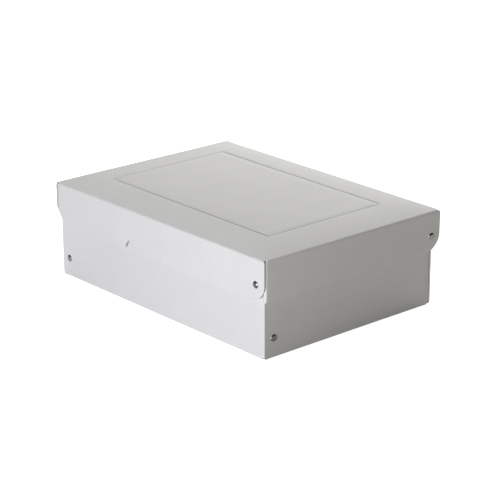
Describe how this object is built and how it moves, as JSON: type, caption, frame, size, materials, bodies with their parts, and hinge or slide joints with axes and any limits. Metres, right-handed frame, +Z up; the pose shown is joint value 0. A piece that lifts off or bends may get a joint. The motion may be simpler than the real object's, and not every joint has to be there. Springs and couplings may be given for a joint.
{
  "type": "archival document box",
  "caption": "Shallow storage box for flat documents: riveted board base with a lift-off lid that overlaps its walls.",
  "frame": {"origin": "middle of the underside of the base", "axes": "+X along the short side, +Y along the long side, +Z up; the front is the short side facing -Y"},
  "size_m": [0.2372, 0.3322, 0.1062],
  "materials": {
    "board": "matte",
    "rivet_metal": "satin nickel plate"
  },
  "bodies": {
    "base": {"base_back_rivet_lower_cap": "rivet_metal", "base_back_rivet_lower_post": "rivet_metal", "base_back_rivet_upper_cap": "rivet_metal", "base_back_rivet_upper_post": "rivet_metal", "base_front_rivet_lower_cap": "rivet_metal", "base_front_rivet_lower_post": "rivet_metal", "base_front_rivet_upper_cap": "rivet_metal", "base_front_rivet_upper_post": "rivet_metal", "base_left_rivet_lower_cap": "rivet_metal", "base_left_rivet_lower_post": "rivet_metal", "base_left_rivet_upper_cap": "rivet_metal", "base_left_rivet_upper_post": "rivet_metal", "base_right_rivet_lower_cap": "rivet_metal", "base_right_rivet_lower_post": "rivet_metal", "base_right_rivet_upper_cap": "rivet_metal", "base_right_rivet_upper_post": "rivet_metal", "base_tray": "board"},
    "lid": {"lid_back_rivet_cap": "rivet_metal", "lid_back_rivet_post": "rivet_metal", "lid_front_rivet_cap": "rivet_metal", "lid_front_rivet_post": "rivet_metal", "lid_left_rivet_cap": "rivet_metal", "lid_left_rivet_post": "rivet_metal", "lid_right_rivet_cap": "rivet_metal", "lid_right_rivet_post": "rivet_metal", "lid_tray": "board"}
  },
  "joints": [
    {"name": "lid_lift", "type": "slide", "parent": "base", "child": "lid", "axis": [0, 0, 1], "range_m": [0, 0.1]}
  ]
}
